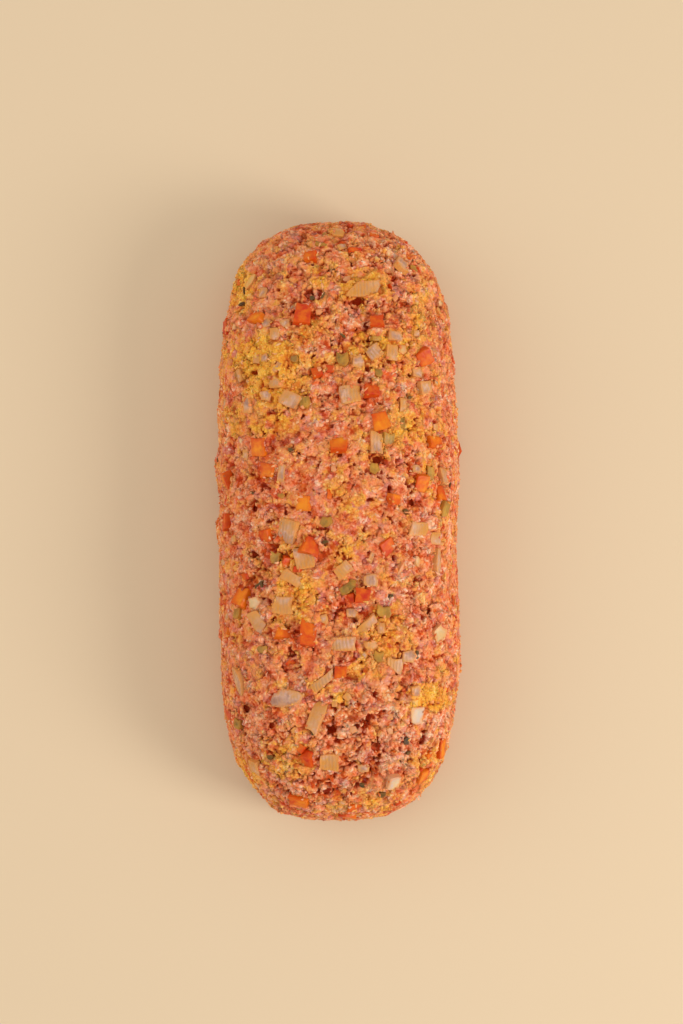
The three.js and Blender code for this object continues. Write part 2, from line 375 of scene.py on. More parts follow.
# small cuts strewn at random between the others
strays = {
    "deal": ("onion", "carrot", "onion", "garlic", "onion", "celery", "herb", "onion", "fat", "carrot"),
    "count": 150, "clear": 4.5, "smallest": 1.3, "spread": 1.9, "lowest": 7.0, "sunk": 0.25, "seed": 19,
    "tip": 0.3, "ratios": (0.7, 1.5),
    "from": (-0.1, 1.0), "top": 120.0,    # where the lines that find them start, as shares of the top
    "aimAcross": 0.8, "aimAlong": 0.9,    # how far from the middle they are aimed, as shares of the loaf
}

# proud: how far a cut stands out of the mince, depth: how far it goes in, sway: how far it tips at most
kinds = {
    "onion": {"name": "onionDice", "shapes": ("plate", "chip"), "proud": 0.05, "depth": 2.4, "sway": 0.24},
    "carrot": {"name": "carrotDice", "shapes": ("cube", "wedge"), "proud": 0.4, "depth": 3.6, "sway": 0.5},
    "celery": {"name": "celeryDice", "shapes": ("rib",), "proud": 0.1, "depth": 3.0, "sway": 0.3},
    "garlic": {"name": "garlicBits", "shapes": ("nub",), "proud": 0.35, "depth": 2.6, "sway": 0.2},
    "fat": {"name": "fatBits", "shapes": ("nub",), "proud": 0.35, "depth": 1.2, "sway": 0.3},
    "herb": {"name": "herbBits", "shapes": ("nub",), "proud": 0.35, "depth": 0.5, "sway": 0.3},
}


# the mince

mince = {
    "voxel": 0.55, "weld": 0.002, "smoothShare": 0.5, "smoothing": 22, "mostTriangles": 196000,
    "edgeLow": 0.3, "edgeHigh": 3.5,      # heights between which the relief grows from the base
    "granule": 1.5, "granuleMiddle": 0.36, "granuleRise": 1.2,
    "stretch": (0.58, 0.75),              # how far the mince draws out into strands, along and upwards
    "comb": 7.0, "combLimits": (0.46, 0.54),              # how soon they turn
    "lump": (6.0, 4.0, 0.62), "lumpRise": 3.0,            # size, detail and roughness
    "crease": 5.2, "creaseWidth": 0.045, "creaseDepth": 1.5,
    "gap": 5.0, "gapWidth": 0.14, "gapDepth": 1.3,
    "holeDepth": 2.4,
    "warp": (2.6, 0.7), "gapWarp": (3.4, 2.2), "holeWarp": (1.6, 1.1),    # size and amount of each
    "lively": 1.2, "calmShare": 0.6,      # how much granules rise, and what smearing takes off that
    "flat": 0.65, "steep": 0.1,           # upward parts of the normal on the crown and on the sides
    "sideSmooth": 0.55,       # share of the relief that stays on the steep sides
    "fade": (-0.7, 0.25),     # distances from a die's edge between which the relief comes up
    "bed": 1.5,               # how far the mince is pressed down under a die
    "bedEdge": (-0.9, 0.1),
    "moat": 0.45,             # the gap that opens beside one
    "moatInside": (-0.3, 0.2), "moatOutside": (0.3, 1.1), "moatWhere": (0.42, 0.58), "moatSize": 4.0,
    "lap": 8.8, "lapMiddle": 0.48, "lapSize": 2.6,        # how far the mince laps over a die, or clears it
}

# stretches with one trait: size, detail and roughness of their noise, what looseness adds, and the limits
traits = {
    "calm": (9.0, 2.0, 0.5, -0.15, 0.42, 0.6),
    "crease": (6.5, 2.0, 0.5, 0.07, 0.5, 0.6),
    "gap": (4.5, 1.0, 0.5, 0.06, 0.54, 0.64),
    "hole": (4.6, 3.0, 0.6, 0.035, 0.60, 0.70),
}

# how the crumb's share builds up from patches and noise
crumbMix = {
    "patch": 0.38, "loose": -0.1, "fine": 4.4, "wide": 8.0, "wideShare": 0.6, "low": 0.76, "high": 0.93,
}

# yellow, crumb-rich patches, red and loose ones, and redder smears beside carrot:
# x, y, radius across, radius along, strength
patches = {
    "crumb": [
        (-31, 68, 15, 9, 1.0), (-41, 99, 4, 10, 0.9), (-27, 56, 12, 8, 0.85), (-30, 41, 9, 6, 0.6),
        (-8, 104, 6, 5, 0.5), (11, 99, 9, 6, 0.7), (19, 72, 13, 8, 0.7), (29, 40, 10, 8, 0.6),
        (-12, 82, 4, 4, 0.7), (2, -13, 6, 7, 0.45), (34, 88, 5, 14, 0.35), (16, 30, 5, 4, 0.4),
        (-20, -15, 7, 8, 0.45), (-18, -32, 9, 10, 0.6), (-2, 20, 5, 12, 0.35), (20, -47, 11, 10, 0.5),
        (37, -73, 9, 5, 1.0), (0.5, -74, 3, 3, 0.9), (10, -62, 7, 5, 0.4), (-10, -78, 5, 10, 0.4),
        (-39, -104, 7, 7, 0.6), (-20, -99, 10, 9, 0.35), (36, 20, 6, 14, 0.3), (38, -100, 6, 8, 0.4),
        (-44, 45, 4, 10, 0.4), (6, 4, 8, 7, 0.3), (8, -118, 14, 5, 0.35),
    ],
    "loose": [
        (18, -88, 24, 17, 1.0), (-30, -88, 12, 12, 0.6), (2, 88, 20, 7, 0.6), (-36, -5, 9, 14, 0.5),
        (30, 2, 12, 18, 0.45), (-4, 56, 7, 8, 0.4), (20, 112, 16, 9, 0.5), (-8, -110, 16, 8, 0.6),
        (36, -38, 10, 14, 0.4),
    ],
    "red": [
        (-9, 62, 7, 6, 0.9), (5, 70, 5, 4, 0.6), (-20, -19, 6, 4, 0.8), (8, -30, 6, 5, 0.9),
        (-14, -49, 7, 5, 0.7), (0, -37, 5, 4, 0.5), (-15, 84, 8, 7, 0.5), (20, 60, 6, 4, 0.5),
        (43, 14, 4, 9, 0.6), (-30, 24, 6, 8, 0.5), (-15, -100, 5, 4, 0.5), (38, -104, 6, 5, 0.6),
        (12, 45, 7, 4, 0.3), (-28, -5, 6, 4, 0.5),
    ],
}


def plainMince():
    source = frame["nodes"]["loaf"]
    deselectAll()
    obj = bpy.data.objects.new("mince", source.data.copy())
    bpy.context.scene.collection.objects.link(obj)
    pick(obj)
    bpy.ops.object.mode_set(mode="EDIT")
    bpy.ops.mesh.select_all(action="SELECT")
    bpy.ops.mesh.remove_doubles(threshold=mince["weld"] * mm)
    bpy.ops.object.mode_set(mode="OBJECT")
    addModifier(obj, "REMESH", mode="VOXEL", voxel_size=mince["voxel"] * mm)
    addModifier(obj, "SMOOTH", factor=mince["smoothShare"], iterations=mince["smoothing"])
    applyAll(obj)
    return obj


minceBody = plainMince()
skinTree = BVHTree.FromObject(minceBody, bpy.context.evaluated_depsgraph_get())
print("plain mince", len(minceBody.data.polygons))


def meet(origin, direction):  # where a line first meets the plain mince, and the way out there
    hit = skinTree.ray_cast(Vector(origin) * mm, Vector(direction).normalized())[0]
    return hit and (hit / mm, outward(hit / mm))


def meetFromAbove(x, y):
    eye = Vector(viewing["eye"])
    found = meet(eye, Vector((x, y + form["ahead"], form["datum"])) - eye)
    return found or meetFromAbove(0.99 * x, 0.99 * y)


def setOn(place, turn, tip, draws):  # a matrix in millimetres that stands things on the skin
    point, normal = place
    stand = Vector((0, 0, 1)).rotation_difference(normal)
    spin = Quaternion((0, 0, 1), math.radians(turn))
    tipX = tip * (draws.next() - 0.5)
    tipY = tip * (draws.next() - 0.5)
    turned = stand @ spin @ Euler((tipX, tipY, 0)).to_quaternion()
    return Matrix.Translation(point) @ turned.to_matrix().to_4x4()


drawSeed = 4711
pieceTip = 0.24               # how far cuts tip at random, in radians from side to side
bitSunk = 0.1


def settlePits(draws):  # each as (matrix, across, along)
    found = []
    for x, y, across, along, turn in pits["rows"]:
        found.append((setOn(meetFromAbove(x, y), turn, pits["tip"], draws), across, along))
    return found


def piecesInRows(table, sunk, draws):  # each piece as (kind, matrix, across, along, tint, shape, sunk)
    found = []
    for kind, rows in table.items():
        for x, y, across, along, turn, tint, shape in rows:
            matrix = setOn(meetFromAbove(x, y), turn, pieceTip, draws)
            found.append((kind, matrix, across, along, tint, shape, sunk))
    return found


def spaced(k, count, draws):  # a place between -1 and 1, drawn within the kth of as many stretches
    return 2 * (k + draws.next()) / count - 1


def flankHeight(draws):
    return flank["low"] + (flank["high"] - flank["low"]) * draws.next()


def flankLines(draws):  # lines that lead to the flanks and ends
    for side in (-1, 1):
        for k in range(flank["count"]):
            y = flank["reach"] * spaced(k, flank["count"], draws)
            yield (side * form["width"], y, flankHeight(draws)), (-side, 0, 0)
        for k in range(flank["endCount"]):
            x = flank["endReach"] * spaced(k, flank["endCount"], draws)
            yield (x, side * form["length"], flankHeight(draws)), (0, -side, 0)


def piecesOnFlanks(draws):
    found = []
    taste = random.Random(flank["seed"])
    for kind, (origin, direction) in zip(itertools.cycle(flank["deal"]), flankLines(draws)):
        across = flank["smallest"] + flank["spread"] * draws.next()
        along = flank["smallest"] + flank["spread"] * draws.next()
        turn = 90 * draws.next()
        matrix = setOn(meet(origin, direction), turn, pieceTip, draws)
        tint = taste.random()
        shape = taste.choice(kinds[kind]["shapes"])
        found.append((kind, matrix, across, along, tint, shape, flank["sunk"]))
    return found


def strayPlace(deal):
    spin = deal.uniform(0, 2 * math.pi)
    high = deal.uniform(*strays["from"])
    start = Vector((form["width"] * math.cos(spin), form["length"] * math.sin(spin), strays["top"] * high))
    x = 0.5 * form["width"] * deal.uniform(-strays["aimAcross"], strays["aimAcross"])
    y = 0.5 * form["length"] * deal.uniform(-strays["aimAlong"], strays["aimAlong"])
    return meet(start, Vector((x, y, form["belt"])) - start)


def strayPieces(taken, draws):  # keeps clear of what is taken, and adds to it
    found = []
    deal = random.Random(strays["seed"])
    while len(found) < strays["count"]:
        place = strayPlace(deal)
        if not place or place[0].z < strays["lowest"]:
            continue
        if any((place[0] - spot).length < strays["clear"] for spot in taken):
            continue
        kind = strays["deal"][len(found) % len(strays["deal"])]
        across = strays["smallest"] + strays["spread"] * deal.random()
        matrix = setOn(place, 360 * deal.random(), strays["tip"], draws)
        shape = deal.choice(kinds[kind]["shapes"])
        along = across * deal.uniform(*strays["ratios"])
        found.append((kind, matrix, across, along, deal.random(), shape, strays["sunk"]))
        taken.append(matrix.translation)
    return found


def settlePlaces():  # the order is that of the draws
    draws = Draws(drawSeed)
    cracks = settlePits(draws)
    pieces = piecesInRows(placed, 0.0, draws)
    pieces += piecesOnFlanks(draws)
    pieces += piecesInRows(bits, bitSunk, draws)
    taken = [piece[1].translation for piece in pieces] + [crack[0].translation for crack in cracks]
    return cracks, pieces + strayPieces(taken, draws)


cracks, pieces = settlePlaces()
print("places", len(cracks), len(pieces))


# the cut shapes, each modelled once at unit size

outlines = {
    "plate": ((-0.5, -0.43), (0.45, -0.5), (0.5, 0.44), (-0.42, 0.5)),
    "chip": ((-0.46, -0.4), (0.36, -0.5), (0.5, 0.06), (0.26, 0.5), (-0.5, 0.38)),
    "fan": ((-0.5, 0.1), (0.3, -0.5), (0.5, 0.47), (-0.48, 0.5)),
    "kite": ((-0.17, -0.5), (0.34, -0.04), (0.5, 0.5), (-0.46, -0.03)),
    "strip": ((-0.41, -0.46), (0.5, 0.1), (0.38, 0.5), (-0.5, 0.04)),
    "slab": ((-0.5, 0.0), (0.1, -0.42), (0.5, -0.46), (0.5, 0.2), (-0.2, 0.42)),
    "flag": ((-0.5, -0.36), (-0.12, -0.5), (0.5, -0.34), (0.46, 0.5), (-0.22, 0.46)),
    "cube": ((-0.5, -0.48), (0.48, -0.5), (0.5, 0.46), (-0.46, 0.5)),
    "wedge": ((-0.5, -0.45), (0.42, -0.5), (0.5, 0.4), (-0.4, 0.5)),
    "rib": (
        (-0.5, -0.12), (-0.27, -0.45), (0.25, -0.5), (0.5, -0.16), (0.4, 0.46), (0.0, 0.34), (-0.42, 0.5),
    ),
    "nub": ((-0.5, -0.28), (0.02, -0.5), (0.5, -0.14), (0.28, 0.44), (-0.36, 0.5)),
}

spindle = {"points": 12, "power": 1.65}


def spindleOutline():
    points = []
    for k in range(spindle["points"]):
        angle = 2 * math.pi * k / spindle["points"]
        x, y = math.cos(angle), math.sin(angle)
        reach = (abs(x) ** spindle["power"] + abs(y) ** spindle["power"]) ** (-1 / spindle["power"])
        points.append((0.5 * x * reach, 0.5 * y * reach))
    return tuple(points)


outlines["spindle"] = spindleOutline()
outlines["layers"] = outlines["plate"]

cut = {
    "edge": 0.055,
    "largeArea": 20.0,        # square millimetres from which a cut is modelled finely
    "fine": (2, 2),           # steps of its bevel and levels of its subdivision
    "plain": (1, 1),
}


def cutShape(name, outline, edgeSteps, levels):  # a slab whose top is at 0.5 and whose foot is at -0.5
    deselectAll()
    bpy.ops.mesh.primitive_circle_add(vertices=len(outline), radius=1, fill_type="NGON")
    obj = bpy.context.object
    obj.name = name
    for vertex, (x, y) in zip(obj.data.vertices, outline):
        vertex.co = (x, y, 0.5)
    bpy.ops.object.mode_set(mode="EDIT")
    bpy.ops.mesh.select_all(action="SELECT")
    bpy.ops.mesh.extrude_region_move(TRANSFORM_OT_translate={"value": (0, 0, -1)})
    bpy.ops.mesh.select_all(action="SELECT")
    bpy.ops.mesh.normals_make_consistent(inside=False)
    bpy.ops.mesh.bevel(offset=cut["edge"], segments=edgeSteps, affect="EDGES")
    bpy.ops.object.mode_set(mode="OBJECT")
    addModifier(obj, "SUBSURF", subdivision_type="SIMPLE", levels=levels, render_levels=levels)
    applyAll(obj)
    return obj


cutShapes = {}
for grade in ("fine", "plain"):
    for name, outline in outlines.items():
        cutShapes[name, grade] = cutShape(grade + name.capitalize(), outline, *cut[grade])
print("cut shapes")


# the diced vegetables

diced = {
    "warp": 0.15, "warpRate": 1.4,        # how far a cut strays from its shape, and how often
    "wedgeDrop": 0.34,
    "onionRadius": 30.0,      # the curve of an onion's layers
    "cupAlong": 0.3,          # the share of it that runs the other way
    "rib": 0.95, "ribRise": 0.05,
    "rough": 0.07, "roughSize": 1.3,
    "layers": 3.2, "layerStep": 0.15, "layerLean": 0.6,
    "rim": 1.4,               # how far in from the edge a piece is stained
    "steady": 0.7,            # what a millimetre of depth takes off the sway
    "ribbed": ("flag", "kite", "fan"),    # shapes that show an onion's lines in full
    "linedTints": (0.6, 0.8), "lined": (0.2, 0.8),        # tints that do too, and how far the rest show them
    "shift": (3.7, 1.3, 0.0), "hollowEvery": 4,           # every fourth onion is cupped the other way
    "bread": 0.4, "edgeFall": 1.8,        # crumb share and distance from the edge, as grains take them
    "smoothAngle": 38,
}


def sizedOutline(shape, across, along):
    return tuple((x * across, y * along) for x, y in outlines[shape])


def farFromOutline(outline, x, y):  # below zero inside
    nearest, inside = 1e9, False
    for (ax, ay), (bx, by) in zip(outline, outline[1:] + outline[:1]):
        dx, dy = bx - ax, by - ay
        share = max(0.0, min(1.0, ((x - ax) * dx + (y - ay) * dy) / (dx * dx + dy * dy)))
        nearest = min(nearest, math.hypot(x - ax - share * dx, y - ay - share * dy))
        if (ay > y) != (by > y) and x < ax + (y - ay) * dx / dy:
            inside = not inside
    return -nearest if inside else nearest


def writeMark(mesh, name, values):
    mesh.attributes.new(name, "FLOAT", "POINT").data.foreach_set("value", values)


def moulded(unit, kind, shape, across, along, cupped, shift):  # a cut's point at its size, and as grown
    setting = kinds[kind]
    thick = setting["proud"] + setting["depth"]
    stray = noise.noise_vector(Vector((unit.x, unit.y, 0)) * diced["warpRate"] + shift) * diced["warp"]
    top = unit.z + 0.5
    if shape == "wedge":
        unit.z -= diced["wedgeDrop"] * top * (unit.x + 0.5)
    spot = Vector(((unit.x + stray.x) * across, (unit.y + stray.y) * along, unit.z * thick))
    plain = spot.copy()
    spot.z += setting["proud"] - thick / 2
    if kind == "onion":
        spot.z -= cupped * (spot.x ** 2 + diced["cupAlong"] * spot.y ** 2) / (2 * diced["onionRadius"])
        spot.z += top * diced["ribRise"] * math.sin(2 * math.pi * spot.x / diced["rib"])
    if shape == "layers":
        layer = diced["layers"] * unit.x
        spot.z += diced["layerStep"] * (math.floor(layer + 0.5) - diced["layerLean"] * layer) * top
    spot.z += diced["rough"] * noise.noise(spot / diced["roughSize"] + shift)
    return plain, spot


def shapedCopy(kind, matrix, across, along, tint, shape, sunk, serial):
    grade = "fine" if across * along > cut["largeArea"] else "plain"
    mesh = cutShapes[shape, grade].data.copy()
    shift = Vector([serial * step for step in diced["shift"]])
    cupped = -1 if kind == "onion" and serial % diced["hollowEvery"] == 1 else 1
    deal = random.Random(serial)
    sway = kinds[kind]["sway"] * (1 - diced["steady"] * sunk)
    tilt = Euler((sway * deal.uniform(-1, 1), sway * deal.uniform(-1, 1), 0)).to_matrix().to_4x4()
    matrix = matrix @ Matrix.Translation((0, 0, -sunk)) @ tilt
    outline = sizedOutline(shape, across, along)
    local, rim = [], []
    for vertex in mesh.vertices:
        unit = vertex.co.copy()
        far = farFromOutline(outline, unit.x * across, unit.y * along)
        plain, spot = moulded(unit, kind, shape, across, along, cupped, shift)
        local.append(plain)
        rim.append(max(0.0, 1 + far / diced["rim"]))
        vertex.co = (matrix @ spot) * mm
    count = len(mesh.vertices)
    low, high = diced["linedTints"]
    ribbed = 1.0 if low < tint < high or shape in diced["ribbed"] else deal.uniform(*diced["lined"])
    slant = Euler((0, 0, deal.uniform(0, 2 * math.pi))).to_matrix() @ Vector((2 / max(across, along), 0, 0))
    writeMark(mesh, "tint", [tint] * count)
    writeMark(mesh, "rim", rim)
    writeMark(mesh, "slant", [spot.dot(slant) for spot in local])
    writeMark(mesh, "die", [diced["edgeFall"] * (value - 1) for value in rim])
    writeMark(mesh, "bread", [diced["bread"]] * count)
    writeMark(mesh, "ribbed", [ribbed] * count)
    owns = mesh.attributes.new("local", "FLOAT_VECTOR", "POINT")
    owns.data.foreach_set("vector", [value for spot in local for value in spot])
    obj = bpy.data.objects.new(kind, mesh)
    bpy.context.scene.collection.objects.link(obj)
    return obj


def joined(name, parts):
    deselectAll()
    for part in parts:
        part.select_set(True)
    bpy.context.view_layer.objects.active = parts[0]
    bpy.ops.object.join()
    obj = bpy.context.object
    obj.name = obj.data.name = name
    return obj


def finishPiece(obj, material, slotName):
    obj.data.materials.clear()
    obj.data.materials.append(material)
    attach(obj, "root")


def makeDice():
    made = {}
    for kind, setting in kinds.items():
        parts = [shapedCopy(*piece, serial) for serial, piece in enumerate(pieces) if piece[0] == kind]
        made[kind] = joined(setting["name"], parts)
        pick(made[kind])
        bpy.ops.object.shade_smooth_by_angle(angle=math.radians(diced["smoothAngle"]))
    return made


diceObjects = makeDice()
print("dice", {name: len(obj.data.polygons) for name, obj in diceObjects.items()})


# relief of the mince

marking = {
    "far": 9.0,               # what a point with no die near it gets as its distance
    "search": (0.6, 1.5),     # how far to look from a die's middle: share of its diagonal, and past that
    "reachUp": 4.0,           # and above or below it
    "ragged": ((1.5, 1.6), (0.8, 1.2)), "raggedBase": 1.3,    # size and amount of noise in a pit's edge
    "pitFall": 1.4,
    "patchFall": 0.7, "patchPower": 1.5,
    "patchLow": 4.0, "patchHigh": 30.0, "patchLeast": 0.15,   # heights between which the patches come up
}


def distanceFromDice(tree, count):  # below zero under a die
    die = np.full(count, marking["far"], dtype=np.float32)
    share, past = marking["search"]
    for kind, matrix, across, along, tint, shape, sunk in pieces:
        outline = sizedOutline(shape, across, along)
        back = matrix.inverted()
        radius = share * math.hypot(across, along) + past
        for place, index, far in tree.find_range(matrix.translation, radius):
            spot = back @ place
            if abs(spot.z) < marking["reachUp"]:
                die[index] = min(die[index], farFromOutline(outline, spot.x, spot.y))
    return die


def depthOfPits(tree, count):  # 1 in a pit, 0 outside
    pit = np.zeros(count, dtype=np.float32)
    for matrix, across, along in cracks:
        back = matrix.inverted()
        for place, index, far in tree.find_range(matrix.translation, max(across, along)):
            spot = back @ place
            ragged = marking["raggedBase"]
            for size, amount in marking["ragged"]:
                ragged += amount * noise.noise(place / size)
            reach = math.hypot(2 * spot.x / across, 2 * spot.y / along) * ragged
            pit[index] = max(pit[index], min(1.0, max(0.0, marking["pitFall"] * (1 - reach))))
    return pit


def patchShare(places, rows):  # how far each point belongs to the patches, as they lie when seen from above
    eye = np.array(viewing["eye"])
    seen = eye[:2] + (places[:, :2] - eye[:2]) * ((eye[2] - form["datum"]) / (eye[2] - places[:, 2:]))
    total = np.zeros(len(places), dtype=np.float32)
    for x, y, across, along, strength in rows:
        square = ((seen[:, 0] - x) / across) ** 2 + ((seen[:, 1] - form["ahead"] - y) / along) ** 2
        total = np.maximum(total, strength * np.exp(-marking["patchFall"] * square ** marking["patchPower"]))
    low, high = marking["patchLow"], marking["patchHigh"]
    return total * np.clip((places[:, 2] - low) / (high - low), marking["patchLeast"], 1)


def markMince(obj):  # writes what lies near each point of the mince as attributes
    mesh = obj.data
    count = len(mesh.vertices)
    places = np.empty(count * 3, dtype=np.float32)
    mesh.vertices.foreach_get("co", places)
    places = places.reshape(-1, 3) / mm
    tree = KDTree(count)
    for index, place in enumerate(places):
        tree.insert(place, index)
    tree.balance()
    writeMark(mesh, "die", distanceFromDice(tree, count))
    writeMark(mesh, "pit", depthOfPits(tree, count))
    for name, rows in patches.items():
        writeMark(mesh, name, patchShare(places, rows))


def geometryTree(name):
    tree = bpy.data.node_groups.new(name, "GeometryNodeTree")
    for direction in ("INPUT", "OUTPUT"):
        tree.interface.new_socket("Geometry", in_out=direction, socket_type="NodeSocketGeometry")
    source = tree.nodes.new("NodeGroupInput").outputs[0]
    sink = tree.nodes.new("NodeGroupOutput").inputs[0]
    return tree, source, sink


def attributeAt(tree, name, kind="FLOAT"):
    node = addNode(tree, "GeometryNodeInputNamedAttribute", {"Name": name}, data_type=kind)
    return node.outputs["Attribute"]


def store(tree, geometry, name, value, kind="FLOAT", domain="POINT"):
    return addNode(tree, "GeometryNodeStoreNamedAttribute", {
        "Geometry": geometry, "Name": name, "Value": value,
    }, data_type=kind, domain=domain).outputs["Geometry"]


def heightOf(tree, vector):
    return addNode(tree, "ShaderNodeSeparateXYZ", {0: vector}).outputs["Z"]


def combed(tree, vector):  # draws the pattern out into strands that turn from place to place
    turned = ease(tree, noiseAt(tree, vector, mince["comb"], 1.0), *mince["combLimits"])
    low, up = mince["stretch"]
    drawn = [vectorCalc(tree, "MULTIPLY", vector, scale) for scale in ((1.0, low, up), (low, 1.0, up))]
    inputs = {0: turned, 4: drawn[0], 5: drawn[1]}
    return addNode(tree, "ShaderNodeMix", inputs, data_type="VECTOR").outputs[1]


def grainCells(tree, vector, feature="SMOOTH_F1"):  # the granules, alike in the relief and in the colour
    return cellsAt(tree, combed(tree, warped(tree, vector, *mince["warp"])), mince["granule"], feature)


def stretches(tree, vector, loose, trait):  # 1 where the mince has the trait, 0 elsewhere
    size, detail, roughness, looseness, low, high = traits[trait]
    here = calc(tree, "MULTIPLY_ADD", loose, looseness, noiseAt(tree, vector, size, detail, roughness))
    return ease(tree, here, low, high)


def crumbShare(tree, vector, crumb, loose):
    share = calc(tree, "MULTIPLY_ADD", crumb, crumbMix["patch"], noiseAt(tree, vector, crumbMix["fine"]))
    share = calc(tree, "MULTIPLY_ADD", loose, crumbMix["loose"], share)
    wide = noiseAt(tree, vector, crumbMix["wide"], 1.0)
    share = calc(tree, "MULTIPLY_ADD", wide, crumbMix["wideShare"], share)
    return ease(tree, share, crumbMix["low"], crumbMix["high"])


def lowered(tree, rise, share, depth):
    return calc(tree, "MULTIPLY_ADD", share, -depth, rise)


def granules(tree, position, loose):  # granules and lumps, lower where the mince is smeared smooth
    rise = calc(tree, "SUBTRACT", mince["granuleMiddle"], grainCells(tree, position).outputs["Distance"])
    rise = calc(tree, "MULTIPLY", rise, mince["granuleRise"])
    calm = stretches(tree, position, loose, "calm")
    lively = ease(tree, calm, 0.0, 1.0, mince["lively"], mince["lively"] - mince["calmShare"])
    rise = calc(tree, "MULTIPLY", rise, lively)
    lumps = calc(tree, "SUBTRACT", noiseAt(tree, position, *mince["lump"]), 0.5)
    return calc(tree, "MULTIPLY_ADD", lumps, mince["lumpRise"], rise)


def torn(tree, position, loose, rise):  # creases, gaps between lumps, and holes
    wander = calc(tree, "SUBTRACT", noiseAt(tree, position, mince["crease"], 2.0), 0.5)
    crease = ease(tree, calc(tree, "ABSOLUTE", wander), 0.0, mince["creaseWidth"], 1.0, 0.0)
    crease = calc(tree, "MULTIPLY", crease, stretches(tree, position, loose, "crease"))
    rise = lowered(tree, rise, crease, mince["creaseDepth"])
    lumps = cellsAt(tree, warped(tree, position, *mince["gapWarp"]), mince["gap"], "DISTANCE_TO_EDGE")
    gap = ease(tree, lumps.outputs["Distance"], 0.0, mince["gapWidth"], 1.0, 0.0)
    gap = calc(tree, "MULTIPLY", gap, stretches(tree, position, loose, "gap"))
    rise = lowered(tree, rise, gap, mince["gapDepth"])
    hole = stretches(tree, warped(tree, position, *mince["holeWarp"]), loose, "hole")
    return lowered(tree, rise, hole, mince["holeDepth"])


def pressedByDice(tree, position, rise):  # level and low under a die, with a gap beside it here and there
    lap = calc(tree, "SUBTRACT", noiseAt(tree, position, mince["lapSize"], 1.0), mince["lapMiddle"])
    die = calc(tree, "MULTIPLY_ADD", lap, mince["lap"], attributeAt(tree, "die"))
    rise = calc(tree, "MULTIPLY", rise, ease(tree, die, *mince["fade"]))
    rise = lowered(tree, rise, ease(tree, die, *mince["bedEdge"], 1.0, 0.0), mince["bed"])
    inside, outside = ease(tree, die, *mince["moatInside"]), ease(tree, die, *mince["moatOutside"], 1.0, 0.0)
    beside = calc(tree, "MULTIPLY", inside, outside)
    here = ease(tree, noiseAt(tree, position, mince["moatSize"], 1.0), *mince["moatWhere"])
    return lowered(tree, rise, calc(tree, "MULTIPLY", beside, here), mince["moat"])


def reliefTree():
    tree, source, sink = geometryTree("relief")
    position = addNode(tree, "GeometryNodeInputPosition").outputs[0]
    normal = addNode(tree, "GeometryNodeInputNormal").outputs[0]
    loose = attributeAt(tree, "loose")
    rise = torn(tree, position, loose, granules(tree, position, loose))
    slope = ease(tree, heightOf(tree, normal), mince["steep"], mince["flat"], mince["sideSmooth"], 1.0)
    rise = calc(tree, "MULTIPLY", rise, slope)
    rise = lowered(tree, rise, attributeAt(tree, "pit"), pits["depth"])
    rise = pressedByDice(tree, position, rise)
    foot = ease(tree, heightOf(tree, position), mince["edgeLow"] * mm, mince["edgeHigh"] * mm)
    rise = calc(tree, "MULTIPLY", rise, foot)
    geometry = store(tree, source, "rest", position, "FLOAT_VECTOR")
    geometry = store(tree, geometry, "deep", rise)
    geometry = store(tree, geometry, "bread", crumbShare(tree, position, attributeAt(tree, "crumb"), loose))
    offset = vectorCalc(tree, "SCALE", normal, Scale=calc(tree, "MULTIPLY", rise, mm))
    moved = addNode(tree, "GeometryNodeSetPosition", {"Geometry": geometry, "Offset": offset}).outputs[0]
    tree.links.new(moved, sink)
    return tree


def raiseMince(obj):
    addModifier(obj, "NODES", node_group=reliefTree())
    triangles = 2 * len(obj.data.polygons)
    addModifier(obj, "DECIMATE", ratio=mince["mostTriangles"] / triangles)
    applyAll(obj)
    for vertex in obj.data.vertices:
        vertex.co.z = max(vertex.co.z, 0)
    pick(obj)
    bpy.ops.object.shade_smooth()


markMince(minceBody)
raiseMince(minceBody)
print("mince relief", len(minceBody.data.polygons))


# materials

def newMaterial(name):
    material = bpy.data.materials.new(name)
    material.use_nodes = True
    return material, material.node_tree, material.node_tree.nodes["Principled BSDF"]


def attribute(tree, name):
    return addNode(tree, "ShaderNodeAttribute", attribute_name=name).outputs


def ramp(tree, value, stops):
    node = addNode(tree, "ShaderNodeValToRGB", {"Fac": value})
    elements = node.color_ramp.elements
    while len(elements) < len(stops):
        elements.new(0.5)
    for element, (place, color) in zip(elements, stops):
        element.position = place
        element.color = (*color, 1)
    return node.outputs["Color"]


def mix(tree, factor, a, b, blend="MIX"):
    node = addNode(tree, "ShaderNodeMix", data_type="RGBA", blend_type=blend)
    for socket, value in ((node.inputs[0], factor), (node.inputs[6], a), (node.inputs[7], b)):
        if isinstance(value, bpy.types.NodeSocket):
            tree.links.new(value, socket)
        else:
            socket.default_value = value if isinstance(value, float) else (*value, 1)
    return node.outputs[2]


def setSockets(shader, **values):
    names = {"roughness": "Roughness", "subsurface": "Subsurface Weight", "radius": "Subsurface Radius",
             "scale": "Subsurface Scale", "specular": "Specular IOR Level"}
    for name, value in values.items():
        shader.inputs[names[name]].default_value = value


def bump(tree, shader, height, distance, strength=1.0):
    inputs = {"Height": height, "Distance": distance * mm, "Strength": strength}
    node = addNode(tree, "ShaderNodeBump", inputs)
    tree.links.new(node.outputs["Normal"], shader.inputs["Normal"])


